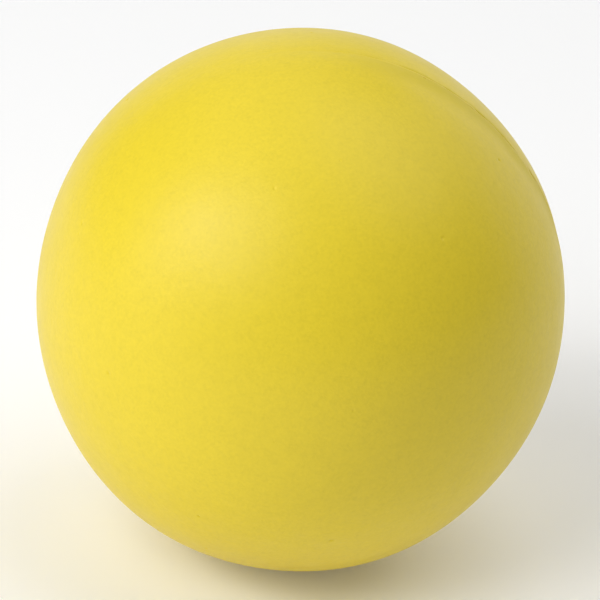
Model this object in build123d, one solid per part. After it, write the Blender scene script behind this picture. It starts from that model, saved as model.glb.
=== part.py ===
from build123d import *
import os
from math import sqrt

# A soft moulded foam ball, slightly oval, with a dense coloured skin in two halves.
# Its origin is its centre. +Z runs along its long way, and the mould halves met in the
# XZ plane, where a shallow furrow runs round the ball. The front half faces -Y.

# Driving dimensions, in millimetres and degrees.
BALL_WIDTH = 62.2  # across X and across Y
BALL_HEIGHT = 64.5  # along Z
SKIN_THICKNESS = 0.8  # dense skin over the foam
FURROW_REACH = 2.4  # from the parting plane to the rim of the furrow
FURROW_DEPTH = 0.18  # at the parting plane, below the round of the ball
BEAD_WIDTH = 0.4  # trimmed flash, along Y
BEAD_PROUD = 0.04  # the flash stands this far above the bottom of the furrow
GATE_DIAMETER = 5.4  # trimmed stub in the pour hole
GATE_SUNK = 0.12  # the cut stub stops this far below the round of the ball
GATE_ANGLE = 38.0  # from straight down, towards +X, along the parting plane

HALF_WIDTH = BALL_WIDTH / 2
HALF_HEIGHT = BALL_HEIGHT / 2
BLOCK = 2 * BALL_HEIGHT  # side of a block with room to spare round half the ball


def ball_inset(depth):
    """The round of the ball, set in by a depth, turned about Z with its joint at +Y."""
    across = HALF_WIDTH - depth
    up = HALF_HEIGHT - depth
    side = EllipticalCenterArc((0, 0), across, up, start_angle=-90, arc_size=180)
    profile = make_face(Curve() + [side, Line((0, -up), (0, up))])
    return Rot(0, 0, 90) * revolve(Plane.XZ * profile, Axis.Z)


def furrow():
    """The round-bottomed ring that is cut out along the parting plane."""
    bottom = HALF_WIDTH - FURROW_DEPTH
    rim = sqrt(HALF_WIDTH**2 - FURROW_REACH**2)
    rise = rim - bottom
    floor_radius = (FURROW_REACH**2 + rise**2) / (2 * rise)
    reach = 1.5 * FURROW_REACH  # carries the floor's arc clear through the surface
    edge = bottom + floor_radius - sqrt(floor_radius**2 - reach**2)
    outside = HALF_WIDTH + 1
    floor = ThreePointArc((edge, reach), (bottom, 0), (edge, -reach))
    lid = Polyline((edge, -reach), (outside, -reach), (outside, reach), (edge, reach))
    round_it = EllipticalCenterArc((0, 0), HALF_WIDTH, HALF_HEIGHT, arc_size=360)
    return sweep(make_face(Curve() + [floor, lid]), path=Plane.XZ * round_it)


def past(y):
    """A block that holds everything of the ball past y, on y's own side."""
    side = 1 if y > 0 else -1
    return Pos(0, y + side * BLOCK / 2, 0) * Box(BLOCK, BLOCK, BLOCK)


def bead_ring():
    """The trimmed flash: a thin flat ring that stands on the foam in the parting plane."""
    foam = SKIN_THICKNESS
    crest = FURROW_DEPTH - BEAD_PROUD
    outside = Ellipse(HALF_WIDTH - crest, HALF_HEIGHT - crest)
    inside = Ellipse(HALF_WIDTH - foam, HALF_HEIGHT - foam)
    return extrude(Plane.XZ * (outside - inside), BEAD_WIDTH / 2, both=True)


def gate_bore():
    """The round pour hole, from inside the foam to outside the ball."""
    aim = Rot(0, -GATE_ANGLE, 0) * Pos(0, 0, -HALF_HEIGHT)
    return aim * Cylinder(GATE_DIAMETER / 2, 8 * SKIN_THICKNESS)


def pieces():
    """Each sub-part by its node name."""
    core = ball_inset(SKIN_THICKNESS)
    bore = gate_bore()
    shell = ball_inset(0) - core
    return {
        "foam_core": core,
        "skin_front": (shell & past(-BEAD_WIDTH / 2)) - furrow() - bore,
        "skin_back": (shell & past(BEAD_WIDTH / 2)) - furrow() - bore,
        "seam_bead": bead_ring() - bore,
        "gate_plug": bore & (ball_inset(GATE_SUNK) - core),
    }


os.makedirs("parts", exist_ok=True)
for node, shape in pieces().items():
    export_step(shape, f"parts/{node}.step")
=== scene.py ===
import math

import bmesh
import bpy
import numpy as np
from mathutils import Matrix, Vector, noise


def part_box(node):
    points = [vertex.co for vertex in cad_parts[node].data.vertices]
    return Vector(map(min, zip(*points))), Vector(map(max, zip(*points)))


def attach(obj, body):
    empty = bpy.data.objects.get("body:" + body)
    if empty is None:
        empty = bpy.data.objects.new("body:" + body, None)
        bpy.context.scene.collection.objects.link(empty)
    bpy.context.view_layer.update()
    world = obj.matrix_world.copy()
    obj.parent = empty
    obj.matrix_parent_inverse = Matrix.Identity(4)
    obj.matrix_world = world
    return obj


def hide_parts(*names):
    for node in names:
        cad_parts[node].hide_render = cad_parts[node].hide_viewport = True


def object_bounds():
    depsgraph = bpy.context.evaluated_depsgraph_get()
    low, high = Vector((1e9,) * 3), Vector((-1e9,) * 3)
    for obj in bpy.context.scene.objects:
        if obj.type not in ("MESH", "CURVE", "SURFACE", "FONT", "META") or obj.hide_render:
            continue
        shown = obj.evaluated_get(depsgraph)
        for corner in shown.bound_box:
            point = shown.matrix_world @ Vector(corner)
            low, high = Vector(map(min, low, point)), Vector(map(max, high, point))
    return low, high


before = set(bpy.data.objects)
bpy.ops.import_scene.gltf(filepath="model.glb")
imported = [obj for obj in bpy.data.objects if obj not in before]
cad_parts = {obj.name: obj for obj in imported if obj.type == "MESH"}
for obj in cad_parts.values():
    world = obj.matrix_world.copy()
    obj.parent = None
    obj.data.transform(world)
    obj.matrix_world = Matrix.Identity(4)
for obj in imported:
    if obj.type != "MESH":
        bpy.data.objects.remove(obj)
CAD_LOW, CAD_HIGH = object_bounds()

# A soft moulded foam ball with a satin yellow skin. Lengths are metres, in the CAD frame:
# the origin is the ball's centre, +Z its long way, and the mould parted at y = 0.

MM = 0.001
SEED = 7

# ---- sizes, worked out from the frame

CORE_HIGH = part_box("foam_core")[1]
HALF_WIDTH = CAD_HIGH.y
SKIN = HALF_WIDTH - CORE_HIGH.y
HALF_HEIGHT = CORE_HIGH.z + SKIN
STRETCH = HALF_HEIGHT / HALF_WIDTH
BEAD_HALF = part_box("seam_bead")[1].y
GATE_LOW, GATE_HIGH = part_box("gate_plug")
GATE_CENTRE = (GATE_LOW + GATE_HIGH) / 2
GATE_RADIUS = (GATE_HIGH.y - GATE_LOW.y) / 2
GATE_AXIS = GATE_CENTRE.normalized()
GATE_AIM = Vector((GATE_AXIS.x, 0, GATE_AXIS.z / STRETCH)).normalized()  # before the stretch

# ---- the skin's relief

FURROW_DEPTH = 0.3 * MM  # at its deepest stretch
FURROW_SPREAD = 1.9 * MM  # the flanks rise this far from the line, most steeply beside it
FURROW_ROUND = 0.5 * MM  # its bottom is rounded over this far each way
FURROW_CENTRE = math.radians(50)  # its deepest stretch, from +X towards +Z
FURROW_LEAST = 0.02  # share of the depth that is left where it fades out
FURROW_FADE = 8  # how fast it fades out away from its deepest stretch
EDGE_ROUND = 0.035 * MM  # how the skin rolls in beside the flash
LUMP_HEIGHT = 0.085 * MM
LUMP_WAVES = 26
LUMP_PITCH = (3.5, 9.5)  # radians of wave per ball radius
DIMPLE_DEPTH = 0.22 * MM  # the skin draws in round the pour hole
DIMPLE_SPREAD = 2.2 * MM
DIMPLE_EASE = 6  # the more, the wider its flat middle
PIT_COUNT = 40
PIT_RADIUS = (0.14 * MM, 0.32 * MM)
PIT_DEPTH = 0.5  # as a share of the pit's radius
PIT_FALL = 2  # how fast it shallows out from its middle
PIT_REACH = 2  # how far it is felt, in its own radii
PITS_DRAWN_IN = 0.4  # share of the pits that are drawn towards the parting line
PITS_SQUEEZE = 0.25  # by this much

# ---- mesh detail

AROUND = 440  # segments round the parting line, a multiple of 4
FIRST_ROW = 0.03 * MM  # the row of faces beside the flash
ROW_GROWTH = 1.13  # each next row is this much wider
LONGEST_ROW = 0.45 * MM
CAP_ANGLE = math.radians(40)  # the cap round each pole of the Y axis, as a square grid
INNER_ROWS = 24
PIT_PATCH = 4  # the mesh is finer round a pit out to this many of its radii
LEAST_PATCH = 0.6 * MM  # and at least this far
RIM_PATCH = 1.2 * MM  # the mesh is finer this far past the pour hole's edge
BORE_LENGTH = 6 * SKIN  # clear through the skin at both ends
SHARP_ANGLE = math.radians(50)

CLEARANCE = 0.003 * MM  # between pieces that touch on the real ball
CORE_AROUND = 240
WELD = 1e-6  # joins the filling's two halves, in ball radii
CELL_SIZE = 0.7 * MM  # open foam cells on the filling and on the cut stub
CELL_DEPTH = 0.09 * MM
CELL_WALL = 1.6  # how steeply a cell's floor rises to its walls
BEAD_STEPS = 1100
BEAD_RAGGED = 0.015 * MM
BEAD_SMOOTH = 9  # steps that the ragged crest is averaged over
BEAD_SUNK = 0.45  # how far its crest lies below the furrow's bottom, as a share of EDGE_ROUND
BEAD_CROWN = 0.02 * MM  # how far its trimmed crest is rounded off at the sides
BEAD_PROFILE = ((0.35, 0), (0.75, 0.25), (1, 0.7))  # (share of its half width, share of the crown)
STUB_LEVEL = -0.2 * MM
STUB_TILT = 0.05 * MM
STUB_TURN = 0.6  # radians round the stub to its higher side
STUB_EDGE = 0.08 * MM
STUB_EDGE_POWER = 8  # the more, the tighter the stub's rounded edge
STUB_RINGS = 30
STUB_AROUND = 120


def unit(v):
    return v / np.linalg.norm(v, axis=-1, keepdims=True)


def random_directions(rng, count):
    return unit(rng.normal(size=(count, 3)))


def make_waves():
    """Gentle lumps: waves in random directions, as (wave vectors, phases)."""
    rng = np.random.default_rng(SEED)
    pitch = rng.uniform(*LUMP_PITCH, size=(LUMP_WAVES, 1))
    return random_directions(rng, LUMP_WAVES) * pitch, rng.uniform(0, 2 * np.pi, LUMP_WAVES)


def make_pits():
    """Pinholes left by bubbles, as (directions, radii). More of them lie near the parting line."""
    rng = np.random.default_rng(SEED + 1)
    aims = random_directions(rng, PIT_COUNT)
    near = rng.random(PIT_COUNT) < PITS_DRAWN_IN
    aims[near, 1] *= PITS_SQUEEZE
    radii = PIT_RADIUS[0] + (PIT_RADIUS[1] - PIT_RADIUS[0]) * rng.random(PIT_COUNT) ** 2
    return unit(aims), radii


WAVES = make_waves()
PITS = make_pits()


def lumps(aims):
    vectors, phases = WAVES
    height = np.cos(aims @ vectors.T + phases).sum(axis=1)
    return LUMP_HEIGHT * height / math.sqrt(LUMP_WAVES / 2)


def from_parting(aims):
    """Distance along the surface from the parting plane, never negative."""
    return HALF_WIDTH * np.arcsin(np.clip(np.abs(aims[:, 1]), 0, 1))


def from_aim(aims, aim):
    """Distance along the surface from one direction."""
    return HALF_WIDTH * np.arccos(np.clip(aims @ np.array(aim), -1, 1))


def prominence(aims):
    """How clear the parting line is, from FURROW_LEAST to 1, by the place along it."""
    turn = np.arctan2(aims[:, 2], aims[:, 0]) - FURROW_CENTRE
    return FURROW_LEAST + (1 - FURROW_LEAST) * (0.5 + 0.5 * np.cos(turn)) ** FURROW_FADE


def furrow(aims):
    away = np.hypot(from_parting(aims), FURROW_ROUND) - FURROW_ROUND
    return -FURROW_DEPTH * prominence(aims) * np.exp(-away / FURROW_SPREAD)


def edge_roll(aims):
    """The quarter round where each half of the skin turns down beside the flash."""
    short = np.clip((BEAD_HALF + EDGE_ROUND - from_parting(aims)) / EDGE_ROUND, 0, 1)
    return -EDGE_ROUND * prominence(aims) * (1 - np.sqrt(1 - short**2))


def dimple(aims):
    away = from_aim(aims, GATE_AIM) / DIMPLE_SPREAD
    return -DIMPLE_DEPTH * np.exp(-(away**4) / DIMPLE_EASE)


def pits(aims):
    depth = np.zeros(len(aims))
    for aim, radius in zip(*PITS):
        share = np.clip(from_aim(aims, aim) / radius, 0, PIT_REACH)
        depth += PIT_DEPTH * radius * np.exp(-PIT_FALL * share**2) * (share < PIT_REACH)
    return -depth


def ball_points(aims, height):
    """Points of the oval ball at a height over its round, for directions in the true ball."""
    scale = np.array([1, 1, STRETCH])
    return aims * (HALF_WIDTH * scale) + aims * height[:, None]


def skin_points(aims):
    height = lumps(aims) + furrow(aims) + edge_roll(aims) + dimple(aims) + pits(aims)
    return ball_points(aims, height)


# ---- meshes


def row_angles(start, stop):
    """Angles from the parting plane, in short steps beside it that grow to the longest row."""
    step, at, angles = FIRST_ROW, start, []
    while at < stop * HALF_WIDTH:
        angles.append(at / HALF_WIDTH)
        at += step
        step = min(step * ROW_GROWTH, LONGEST_ROW)
    return angles


def ring(angle, count, side):
    """Directions round the Y axis at one angle from the parting plane."""
    turn = np.arange(count) * (2 * np.pi / count) - np.pi / 4
    flat = np.cos(angle)
    return np.stack([flat * np.cos(turn), np.full(count, side * np.sin(angle)), flat * np.sin(turn)], 1)


def cap(count, side, angle):
    """A square grid bent over the pole. Its border is the last ring. Returns (directions, rows)."""
    n = count // 4
    a = np.linspace(-np.pi / 4, np.pi / 4, n + 1)
    i, j = np.meshgrid(a, a, indexing="ij")
    u = math.sqrt(2) * np.sin(i) * np.cos(j)
    v = math.sqrt(2) * np.sin(j) * np.cos(i)
    share = np.clip(np.hypot(u, v), 1e-9, 1)
    tilt = share * angle
    x, z = np.sin(tilt) * u / share, np.sin(tilt) * v / share
    return np.stack([x, side * np.cos(tilt), z], -1), n


def dome(bm, rows, count, side, place, flip):
    """Adds one half: rings from the parting plane, then a grid cap over the pole."""
    rings = []
    for angle in rows:
        rings.append([bm.verts.new(p) for p in place(ring(angle, count, side))])
    grid, n = cap(count, side, CAP_ANGLE)
    made = [[bm.verts.new(p) for p in place(line)] for line in grid]
    border = [made[n][j] for j in range(n)] + [made[n - i][n] for i in range(n)]
    border += [made[0][n - j] for j in range(n)] + [made[i][0] for i in range(n)]
    rings.append(border)
    quads = [
        (low[k], low[(k + 1) % count], high[(k + 1) % count], high[k])
        for low, high in zip(rings, rings[1:])
        for k in range(count)
    ]
    quads += [
        (made[i][j], made[i + 1][j], made[i + 1][j + 1], made[i][j + 1])
        for i in range(n)
        for j in range(n)
    ]
    for quad in quads:
        bm.faces.new(quad[::-1] if flip else quad)


def new_object(name, bm):
    bmesh.ops.recalc_face_normals(bm, faces=bm.faces)
    mesh = bpy.data.meshes.new(name)
    bm.to_mesh(mesh)
    bm.free()
    mesh.shade_smooth()
    mesh.set_sharp_from_angle(angle=SHARP_ANGLE)
    piece = bpy.data.objects.new(name, mesh)
    bpy.context.scene.collection.objects.link(piece)
    return piece


def refine(bm, spots, cuts):
    """Cuts the faces near each (direction, reach) finer."""
    centres = np.array([f.calc_center_median() for f in bm.faces])
    aims = unit(centres)
    near = np.zeros(len(aims), bool)
    for aim, reach in spots:
        near |= from_aim(aims, aim) < reach
    edges = {e for f, hit in zip(list(bm.faces), near) if hit for e in f.edges}
    if edges:
        bmesh.ops.subdivide_edges(bm, edges=list(edges), cuts=cuts, use_grid_fill=True)


def inner_points(aims):
    return ball_points(aims, np.full(len(aims), -SKIN))


def half_skin(name, side):
    """One mould half's skin: relief outside, plain inside, joined round the parting edge."""
    bm = bmesh.new()
    stop = math.pi / 2 - CAP_ANGLE
    rows = row_angles(BEAD_HALF, stop)
    dome(bm, rows, AROUND, side, lambda aims: aims, side > 0)
    own = [(aim, radius) for aim, radius in zip(*PITS) if aim[1] * side > 0]
    refine(bm, [(aim, max(PIT_PATCH * radius, LEAST_PATCH)) for aim, radius in own], cuts=3)
    refine(bm, [(GATE_AIM, GATE_RADIUS + RIM_PATCH)], cuts=1)
    aims = unit(np.array([v.co for v in bm.verts]))
    for v, p in zip(list(bm.verts), skin_points(aims)):
        v.co = p
    plain = np.linspace(BEAD_HALF / HALF_WIDTH, stop, INNER_ROWS)[:-1]
    dome(bm, plain, AROUND, side, inner_points, side < 0)
    bmesh.ops.bridge_loops(bm, edges=[e for e in bm.edges if e.is_boundary])
    return new_object(name, bm)


def bore_hole(piece):
    """Cuts the pour hole through a half of the skin."""
    bm = bmesh.new()
    turn = GATE_AXIS.to_track_quat("Z", "Y").to_matrix().to_4x4()
    place = Matrix.Translation(GATE_CENTRE) @ turn
    bmesh.ops.create_cone(
        bm,
        cap_ends=True,
        segments=STUB_AROUND,
        radius1=GATE_RADIUS,
        radius2=GATE_RADIUS,
        depth=BORE_LENGTH,
        matrix=place,
    )
    cutter = new_object("cutter", bm)
    cut = piece.modifiers.new("pour_hole", "BOOLEAN")
    cut.object = cutter
    cut.solver = "EXACT"
    ready = piece.evaluated_get(bpy.context.evaluated_depsgraph_get())
    mesh = bpy.data.meshes.new_from_object(ready)
    mesh.name = piece.name
    piece.modifiers.clear()
    piece.data = mesh
    mesh.shade_smooth()
    mesh.set_sharp_from_angle(angle=SHARP_ANGLE)
    bpy.data.objects.remove(cutter)


def cells(points):
    """How deep the open foam cells lie at each point, from 0 on their walls."""
    depth = [noise.voronoi(Vector(p) / CELL_SIZE)[0] for p in points]
    near, second = np.array([d[0] for d in depth]), np.array([d[1] for d in depth])
    return CELL_DEPTH * np.clip(CELL_WALL * (second - near), 0, 1)


def foam_filling():
    """The filling, a closed form just inside the skin, with open cells all over it."""
    bm = bmesh.new()
    rows = np.arange(0, math.pi / 2 - CAP_ANGLE, 2 * math.pi / CORE_AROUND)
    for side in (-1, 1):
        dome(bm, rows, CORE_AROUND, side, lambda aims: aims, side > 0)
    bmesh.ops.remove_doubles(bm, verts=bm.verts, dist=WELD)
    aims = unit(np.array([v.co for v in bm.verts]))
    height = -SKIN - CLEARANCE - cells(aims * HALF_WIDTH)
    for v, p in zip(list(bm.verts), ball_points(aims, height)):
        v.co = p
    return new_object("foam_filling", bm)


def seam_flash():
    """The trimmed flash: a thin ragged ring between the halves, open where the stub sits."""
    middle = math.atan2(GATE_AIM.z, GATE_AIM.x)
    gap = (GATE_RADIUS + CLEARANCE) / HALF_WIDTH
    turn = middle + np.linspace(gap, 2 * math.pi - gap, BEAD_STEPS)
    aims = np.stack([np.cos(turn), np.zeros(BEAD_STEPS), np.sin(turn)], 1)
    rng = np.random.default_rng(SEED + 2)
    window = np.ones(BEAD_SMOOTH) / math.sqrt(BEAD_SMOOTH)
    ragged = np.convolve(rng.normal(size=BEAD_STEPS + BEAD_SMOOTH - 1), window, "valid")
    crest = lumps(aims) + furrow(aims) + dimple(aims)
    crest -= EDGE_ROUND * prominence(aims) * BEAD_SUNK
    crest += BEAD_RAGGED * prominence(aims) * ragged
    half = BEAD_HALF - CLEARANCE
    foot = np.full(BEAD_STEPS, -SKIN)
    side = [(across, crest - drop * BEAD_CROWN * prominence(aims)) for across, drop in BEAD_PROFILE]
    side.append((1, foot))
    around = [(-across, height) for across, height in side[::-1]] + side
    bm = bmesh.new()
    loops = []
    for across, height in around:
        points = ball_points(aims, height)
        points[:, 1] = across * half
        loops.append([bm.verts.new(p) for p in points])
    for low, high in zip(loops, loops[1:] + loops[:1]):
        for k in range(BEAD_STEPS - 1):
            bm.faces.new((low[k], low[k + 1], high[k + 1], high[k]))
    for end in (0, -1):
        bm.faces.new([loop[end] for loop in loops])
    return new_object("seam_flash", bm)


def stub_slope(radius, turn):
    """The knife left the stub a little higher on one side, and rounded at its edge."""
    share = radius / GATE_RADIUS
    return STUB_TILT * share * np.cos(turn - STUB_TURN) - STUB_EDGE * share**STUB_EDGE_POWER


def cut_stub():
    """The stub of foam in the pour hole, cut off a little below the skin."""
    side_way = Vector((0, 1, 0))
    along = GATE_AXIS.cross(side_way)
    radii = np.linspace(0, GATE_RADIUS - 2 * CLEARANCE, STUB_RINGS + 1)[1:]
    turn = np.arange(STUB_AROUND) * 2 * math.pi / STUB_AROUND
    bm = bmesh.new()
    surface = GATE_AXIS * (GATE_CENTRE.length + SKIN / 2)

    def points(radius, top):
        flat = [surface + side_way * (radius * math.cos(a)) + along * (radius * math.sin(a)) for a in turn]
        aims = unit(np.array(flat) / np.array([1, 1, STRETCH]))
        if not top:
            return inner_points(aims)
        height = STUB_LEVEL + lumps(aims) - cells(np.array(flat)) + stub_slope(radius, turn)
        return ball_points(aims, height)

    rings = [[bm.verts.new(p) for p in points(radius, True)] for radius in radii]
    rings.append([bm.verts.new(p) for p in points(radii[-1], False)])
    for low, high in zip(rings, rings[1:]):
        for k in range(STUB_AROUND):
            j = (k + 1) % STUB_AROUND
            bm.faces.new((low[k], low[j], high[j], high[k]))
    bm.faces.new(rings[0])
    bm.faces.new(rings[-1])
    return new_object("cut_stub", bm)


# ---- the pieces

front = half_skin("front_skin", -1)
back = half_skin("back_skin", 1)
for piece in (front, back):
    bore_hole(piece)
filling = foam_filling()
flash = seam_flash()
stub = cut_stub()
PIECES = (
    (front, "skin_front", "skin"),
    (back, "skin_back", "skin"),
    (filling, "foam_core", "foam"),
    (flash, "seam_bead", "flash"),
    (stub, "gate_plug", "cut_foam"),
)
for piece, node, slot in PIECES:
    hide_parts(node)
    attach(piece, "root")

# ---- camera

VIEW_AZIMUTH = math.radians(-6.0)
VIEW_ELEVATION = math.radians(26.6)
VIEW_ROLL = math.radians(5.2)
VIEW_DISTANCE = 0.62
BALL_SHARE = 0.8915  # of the picture's side, by the ball's mean apparent width


def add_camera():
    back_way = Vector(
        (
            math.sin(VIEW_AZIMUTH) * math.cos(VIEW_ELEVATION),
            -math.cos(VIEW_AZIMUTH) * math.cos(VIEW_ELEVATION),
            math.sin(VIEW_ELEVATION),
        )
    )
    data = bpy.data.cameras.new("camera")
    mean_radius = (2 * HALF_WIDTH + HALF_HEIGHT) / 3
    tangent = math.tan(math.asin(mean_radius / VIEW_DISTANCE))
    data.lens = data.sensor_width / 2 * BALL_SHARE / tangent
    camera = bpy.data.objects.new("camera", data)
    camera.location = back_way * VIEW_DISTANCE
    turn = (-back_way).to_track_quat("-Z", "Y").to_matrix() @ Matrix.Rotation(VIEW_ROLL, 3, "Z")
    camera.rotation_euler = turn.to_euler()
    bpy.context.scene.collection.objects.link(camera)
    bpy.context.scene.camera = camera


add_camera()

# ---- stage and lights

FLOOR_RADIUS = 4.0
FLOOR_WHITE = (0.93, 0.93, 0.93)
FLOOR_ROUGH = 0.9
FLOOR_GLOW = 0.08  # a lit table top, so that the ball stands on near white
WORLD_STRENGTH = 0.06

# name: azimuth from the front towards +X, elevation, size, distance, watts
SOFTBOXES = {
    "key": (-57, 40, 0.9, 0.9, 3.9),
    "key_middle": (-46, 42, 0.4, 0.8, 1.0),
    "key_small": (-65, 37, 0.2, 0.8, 0.8),
    "left_low": (-75, 15, 0.4, 0.8, 0.88),
    "right_high": (90, 65, 0.9, 0.9, 3.1),
    "back_high": (-150, 65, 0.9, 0.9, 1.35),
    "back_right": (130, 15, 0.9, 0.9, 1.94),
    "back_low": (180, 4, 1.0, 0.9, 1.79),
}


def floor_material():
    material = bpy.data.materials.new("floor")
    material.use_nodes = True
    shader = material.node_tree.nodes["Principled BSDF"]
    shader.inputs["Base Color"].default_value = (*FLOOR_WHITE, 1)
    shader.inputs["Roughness"].default_value = FLOOR_ROUGH
    shader.inputs["Emission Color"].default_value = (1, 1, 1, 1)
    shader.inputs["Emission Strength"].default_value = FLOOR_GLOW
    return material


def add_floor():
    bm = bmesh.new()
    bmesh.ops.create_circle(bm, cap_ends=True, segments=96, radius=FLOOR_RADIUS)
    floor = new_object("floor", bm)
    floor.location.z = min(CAD_LOW.z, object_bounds()[0].z)
    floor.data.materials.append(floor_material())


add_floor()


def add_softbox(name, azimuth, elevation, size, distance, watts):
    a, e = math.radians(azimuth), math.radians(elevation)
    way = Vector((math.sin(a) * math.cos(e), -math.cos(a) * math.cos(e), math.sin(e)))
    data = bpy.data.lights.new(name, "AREA")
    data.shape = "DISK"
    data.size = size
    data.energy = watts
    light = bpy.data.objects.new(name, data)
    light.location = way * distance
    light.rotation_euler = (-way).to_track_quat("-Z", "Y").to_euler()
    bpy.context.scene.collection.objects.link(light)


for name, values in SOFTBOXES.items():
    add_softbox(name, *values)

world = bpy.data.worlds.new("studio")
world.use_nodes = True
background = world.node_tree.nodes["Background"]
background.inputs["Strength"].default_value = WORLD_STRENGTH
background.inputs["Color"].default_value = (1, 1, 1, 1)
bpy.context.scene.world = world
bpy.context.scene.view_settings.view_transform = "Standard"

# ---- materials. A pitch is how many features of a texture lie along a metre.

SKIN_YELLOW = (0.798, 0.622, 0.032)
SKIN_ROUGH = 0.4
SKIN_ROUGH_SPREAD = 0.03
SPECULAR = 0.3
IOR = 1.5
CLOUD_PITCH = 70
CLOUD_SHADES = (0.98, 1.02)
GRAIN_PITCH = 2600
GRAIN_SHADE = 0.92
GRAIN_BUMP = 0.03 * MM
MOTTLE_PITCH = 900
MOTTLE_SHADE = 1.035
WORN_PITCH = 240
PEEL_PITCH = 620
PEEL_BUMP = 0.06 * MM
SKIN_BUMP_STRENGTH = 0.7

# painted shade: a darker, ragged band painted into the skin's colour beside the furrow's deepest stretch,
# where the furrow's shade falls, and rougher there
PAINTED_SHADE_PITCH = 190
PAINTED_SHADE_CENTRE = math.radians(44)  # from +X towards +Z
PAINTED_SHADE_WIDTH = 5.2 * MM  # from the parting plane to its faint front edge
PAINTED_SHADE_FULL = 0.25  # it is at its darkest from the parting plane to this share of its width
PAINTED_SHADE_EDGE = 0.8 * MM  # past the parting plane, where it ends
PAINTED_SHADE_RAGGED = 0.45 * MM
PAINTED_SHADE_REACH = (0.66, 0.99)  # by the cosine of the angle from its centre, along the parting line
PAINTED_SHADE_YELLOW = (0.699, 0.546, 0.017)
PAINTED_SHADE_ROUGH = 0.6

FOAM_CELL_PITCH = 1 / (0.45 * MM)
FOAM_CELL_BUMP = 0.12 * MM
FOAM_FINE_PITCH = 4200
FOAM_FINE_BUMP = 0.03 * MM
FOAM_CLOUD_PITCH = 110
FOAM_CLOUD_SHADE = 0.93
FOAM_BUMP_STRENGTH = 0.6
FOAM_SPECULAR = 0.25

FLASH_PITCH = 1500
FLASH_SHADES = (0.96, 1.0)
FLASH_ROUGH = (0.36, 0.46)
FLASH_BUMP = 0.02 * MM
FLASH_BUMP_STRENGTH = 0.5


def new_material(name, **sockets):
    """A Principled material. Values that are the same all over go on the shader's sockets."""
    material = bpy.data.materials.new(name)
    material.use_nodes = True
    shader = material.node_tree.nodes["Principled BSDF"]
    for socket, value in sockets.items():
        shader.inputs[socket.replace("_", " ")].default_value = value
    return material, shader


def texture(material, kind, pitch, **settings):
    """A texture node with so many features along a metre, placed by the piece's own shape."""
    nodes, links = material.node_tree.nodes, material.node_tree.links
    node = nodes.new(kind)
    node.inputs["Scale"].default_value = pitch
    for name, value in settings.items():
        node.inputs[name].default_value = value
    place = nodes.get("place") or nodes.new("ShaderNodeTexCoord")
    place.name = "place"
    links.new(place.outputs["Object"], node.inputs["Vector"])
    return node


def spread(material, source, low, high, start=0.3, stop=0.7, smooth=False):
    """A value that goes from low to high as the source goes from start to stop."""
    node = material.node_tree.nodes.new("ShaderNodeMapRange")
    node.interpolation_type = "SMOOTHSTEP" if smooth else "LINEAR"
    ends = {"From Min": start, "From Max": stop, "To Min": low, "To Max": high}
    for name, value in ends.items():
        node.inputs[name].default_value = value
    material.node_tree.links.new(source, node.inputs["Value"])
    return node.outputs["Result"]


def combine(material, operation, first, second):
    """A Math node. Either side may be a number or a socket."""
    node = material.node_tree.nodes.new("ShaderNodeMath")
    node.operation = operation
    for socket, value in zip(node.inputs, (first, second)):
        if isinstance(value, bpy.types.NodeSocket):
            material.node_tree.links.new(value, socket)
        else:
            socket.default_value = value
    return node.outputs[0]


def mixed(material, share, first, second):
    """A colour between two, by a share that a texture gives. Either may be a colour or a socket."""
    nodes, links = material.node_tree.nodes, material.node_tree.links
    node = nodes.new("ShaderNodeMix")
    node.data_type = "RGBA"
    links.new(share, node.inputs["Factor"])
    for socket, value in ((node.inputs[6], first), (node.inputs[7], second)):
        if isinstance(value, bpy.types.NodeSocket):
            links.new(value, socket)
        else:
            socket.default_value = (*value, 1)
    return node.outputs[2]


def add_bump(material, shader, source, depth, strength, before=None):
    """Bumps depth metres high where the source is 1."""
    node = material.node_tree.nodes.new("ShaderNodeBump")
    node.inputs["Distance"].default_value = depth
    node.inputs["Strength"].default_value = strength
    material.node_tree.links.new(source, node.inputs["Height"])
    if before is not None:
        material.node_tree.links.new(before, node.inputs["Normal"])
    material.node_tree.links.new(node.outputs["Normal"], shader.inputs["Normal"])
    return node.outputs["Normal"]


def shade(colour, by):
    return tuple(min(1, c * by) for c in colour)


def furrow_painted_shade(material):
    """From 0 to 1: where shade is painted into the colour, as a dark ragged band on the front side of the
    deepest stretch of the furrow.
    """
    place = material.node_tree.nodes["place"].outputs["Object"]
    links = material.node_tree.links
    apart = material.node_tree.nodes.new("ShaderNodeSeparateXYZ")
    links.new(place, apart.inputs["Vector"])
    x, y, z = apart.outputs
    ragged = texture(material, "ShaderNodeTexNoise", PAINTED_SHADE_PITCH, Detail=5, Roughness=0.6)
    shift = spread(material, ragged.outputs["Fac"], -PAINTED_SHADE_RAGGED, PAINTED_SHADE_RAGGED)
    across = combine(material, "ADD", y, shift)
    near = spread(material, across, 0, 1, -PAINTED_SHADE_WIDTH, -PAINTED_SHADE_FULL * PAINTED_SHADE_WIDTH, True)
    far = spread(material, across, 1, 0, 0, PAINTED_SHADE_EDGE, True)
    along_x = combine(material, "MULTIPLY", x, math.cos(PAINTED_SHADE_CENTRE) / HALF_WIDTH)
    along_z = combine(material, "MULTIPLY", z, math.sin(PAINTED_SHADE_CENTRE) / HALF_HEIGHT)
    along = combine(material, "ADD", along_x, along_z)
    strong = spread(material, along, 0, 1, PAINTED_SHADE_REACH[0], PAINTED_SHADE_REACH[1], True)
    return combine(material, "MULTIPLY", combine(material, "MULTIPLY", near, far), strong)


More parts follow.
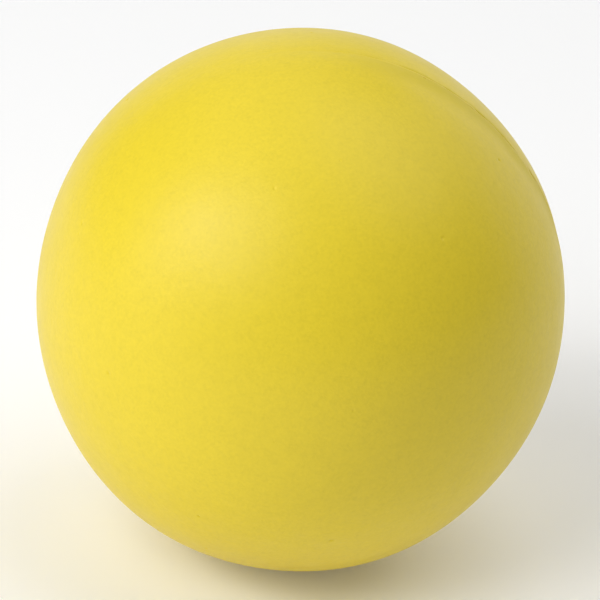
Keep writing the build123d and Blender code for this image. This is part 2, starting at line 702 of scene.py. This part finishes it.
def skin_material():
    """Dense satin foam skin: cloudy colour, fine peel, specks where bubbles lie under it, and painted
    shade beside the furrow.
    """
    material, shader = new_material("skin", IOR=IOR, Specular_IOR_Level=SPECULAR)
    links = material.node_tree.links
    cloud = texture(material, "ShaderNodeTexNoise", CLOUD_PITCH, Detail=4, Roughness=0.55)
    share = spread(material, cloud.outputs["Fac"], 0, 1)
    colour = mixed(material, share, *(shade(SKIN_YELLOW, by) for by in CLOUD_SHADES))
    grain = texture(material, "ShaderNodeTexNoise", GRAIN_PITCH, Detail=3, Roughness=0.6)
    fleck = spread(material, grain.outputs["Fac"], 0, 1)
    colour = mixed(material, fleck, colour, shade(SKIN_YELLOW, GRAIN_SHADE))
    mottle = texture(material, "ShaderNodeTexNoise", MOTTLE_PITCH, Detail=3, Roughness=0.6)
    pale = spread(material, mottle.outputs["Fac"], 0, 0.5)
    colour = mixed(material, pale, colour, shade(SKIN_YELLOW, MOTTLE_SHADE))
    # painted shade: the skin's colour goes darker in a band beside the furrow, standing in for the shade
    # that falls there
    painted_shade = furrow_painted_shade(material)
    colour = mixed(material, painted_shade, colour, PAINTED_SHADE_YELLOW)
    links.new(colour, shader.inputs["Base Color"])
    worn = texture(material, "ShaderNodeTexNoise", WORN_PITCH, Detail=5, Roughness=0.6)
    smoothest, roughest = SKIN_ROUGH - SKIN_ROUGH_SPREAD, SKIN_ROUGH + SKIN_ROUGH_SPREAD
    rough = spread(material, worn.outputs["Fac"], smoothest, roughest)
    # the band of painted shade is also rougher
    rougher = combine(material, "MULTIPLY", painted_shade, PAINTED_SHADE_ROUGH - SKIN_ROUGH)
    links.new(combine(material, "ADD", rough, rougher), shader.inputs["Roughness"])
    peel = texture(material, "ShaderNodeTexNoise", PEEL_PITCH, Detail=2, Roughness=0.5)
    normal = add_bump(material, shader, peel.outputs["Fac"], PEEL_BUMP, SKIN_BUMP_STRENGTH)
    add_bump(material, shader, grain.outputs["Fac"], GRAIN_BUMP, SKIN_BUMP_STRENGTH, normal)
    return material


def foam_material(name, pale, painted_cell_shade, roughness):
    """Open-celled foam: painted shade makes the cells darker, with a rough broken surface."""
    material, shader = new_material(name, Sheen_Weight=0.15, Sheen_Roughness=0.6, Roughness=roughness)
    shader.inputs["Specular IOR Level"].default_value = FOAM_SPECULAR
    cell = texture(material, "ShaderNodeTexVoronoi", FOAM_CELL_PITCH)
    fine = texture(material, "ShaderNodeTexNoise", FOAM_FINE_PITCH, Detail=4, Roughness=0.65)
    # painted shade: the colour darkens towards each cell's middle, where the bump sinks
    depth = spread(material, cell.outputs["Distance"], 0, 1)
    colour = mixed(material, depth, painted_cell_shade, pale)
    cloud = texture(material, "ShaderNodeTexNoise", FOAM_CLOUD_PITCH, Detail=3)
    share = spread(material, cloud.outputs["Fac"], 0, 0.3)
    colour = mixed(material, share, colour, shade(pale, FOAM_CLOUD_SHADE))
    material.node_tree.links.new(colour, shader.inputs["Base Color"])
    normal = add_bump(material, shader, cell.outputs["Distance"], FOAM_CELL_BUMP, FOAM_BUMP_STRENGTH)
    add_bump(material, shader, fine.outputs["Fac"], FOAM_FINE_BUMP, FOAM_BUMP_STRENGTH, normal)
    return material


def flash_material():
    """Flash squeezed thin: the skin's colour, a shade deeper, with trimming marks."""
    material, shader = new_material("flash", IOR=IOR, Specular_IOR_Level=SPECULAR)
    marks = texture(material, "ShaderNodeTexNoise", FLASH_PITCH, Detail=3, Roughness=0.6)
    share = spread(material, marks.outputs["Fac"], 0, 1)
    colour = mixed(material, share, *(shade(SKIN_YELLOW, by) for by in FLASH_SHADES))
    material.node_tree.links.new(colour, shader.inputs["Base Color"])
    rough = spread(material, marks.outputs["Fac"], *FLASH_ROUGH)
    material.node_tree.links.new(rough, shader.inputs["Roughness"])
    add_bump(material, shader, marks.outputs["Fac"], FLASH_BUMP, FLASH_BUMP_STRENGTH)
    return material


MATERIALS = {
    "skin": skin_material(),
    # each foam: its colour on the cell walls, the painted shade in its cells, and its roughness
    "foam": foam_material("foam", (0.93, 0.87, 0.62), (0.72, 0.6, 0.3), 0.85),
    "flash": flash_material(),
    "cut_foam": foam_material("cut_foam", (0.9, 0.72, 0.16), (0.7, 0.5, 0.04), 0.8),
}
for piece, _, slot in PIECES:
    piece.data.materials.clear()
    piece.data.materials.append(MATERIALS[slot])
